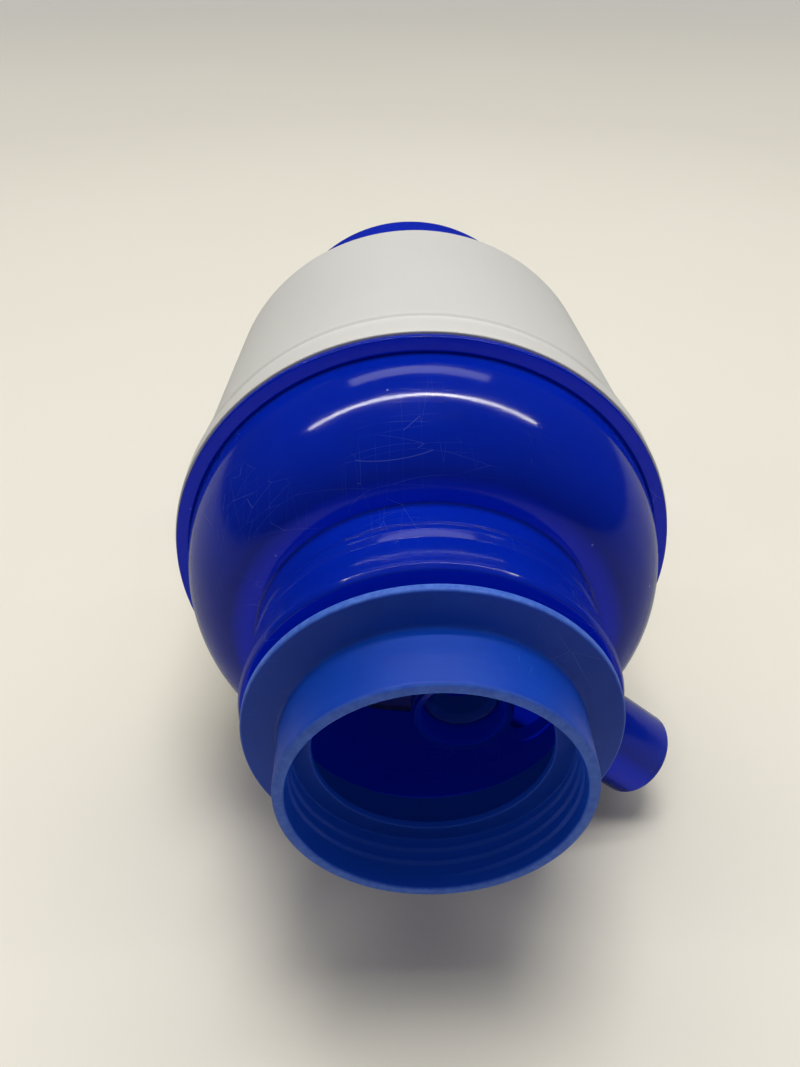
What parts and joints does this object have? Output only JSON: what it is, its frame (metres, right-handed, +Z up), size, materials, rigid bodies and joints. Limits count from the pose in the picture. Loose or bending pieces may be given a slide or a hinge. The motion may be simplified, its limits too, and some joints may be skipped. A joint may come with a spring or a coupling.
{
  "type": "hand pump for bottled water",
  "caption": "Hand pump that clips on a large water bottle: a press button in a white barrel works a bellows above a blue domed base with a side outlet and a ribbed neck adapter.",
  "frame": {"origin": "bottom centre of the bounding box, on the surface that the pump lies on", "axes": "+Y along the pump's axis from the bottle adapter's mouth towards the button, +Z up, +X towards the side the outlet leaves on"},
  "size_m": [0.1263, 0.213, 0.1233],
  "materials": {
    "bowl_blue": "polished royal blue ABS",
    "adapter_blue": "satin blue polyethylene, flexible",
    "button_blue": "gloss royal blue ABS",
    "housing_white": "semi-gloss white ABS",
    "inner_white": "plain moulded white polypropylene",
    "bellows_white": "soft milky white rubber",
    "silicone": "translucent silicone, satin",
    "rubber_grey": "grey sealing rubber",
    "rubber_black": "black O-ring rubber",
    "spring_steel": "bright drawn stainless wire"
  },
  "bodies": {
    "pump_body": {"neck_adapter": "adapter_blue", "adapter_seal": "rubber_grey", "collar_ring": "bowl_blue", "base_bowl": "bowl_blue", "outlet_elbow": "bowl_blue", "outlet_o_ring": "rubber_black", "riser_grommet": "adapter_blue", "plate_seal": "rubber_grey", "valve_plate": "inner_white", "bellows_bottom_ring": "inner_white", "bellows": "bellows_white", "return_spring": "spring_steel", "housing_seal": "rubber_grey", "housing_shell": "housing_white", "button_guide_ring": "inner_white"},
    "button": {"press_button": "button_blue", "bellows_plate": "inner_white", "bellows_top_ring": "inner_white"},
    "inlet_valve": {"inlet_valve": "silicone"},
    "outlet_valve": {"outlet_valve": "silicone"}
  },
  "joints": [
    {"name": "button_press", "type": "slide", "parent": "pump_body", "child": "button", "axis": [0, -1, 0], "range_m": [0, 0.045], "stiffness_N_per_m": 250, "springref_m": -0.012, "deforming": ["bellows", "return_spring"]},
    {"name": "inlet_valve_lift", "type": "slide", "parent": "button", "child": "inlet_valve", "axis": [0, -1, 0], "range_m": [0, 0.0012], "stiffness_N_per_m": 20},
    {"name": "outlet_valve_lift", "type": "slide", "parent": "pump_body", "child": "outlet_valve", "axis": [0, -1, 0], "range_m": [0, 0.0012], "stiffness_N_per_m": 20}
  ]
}
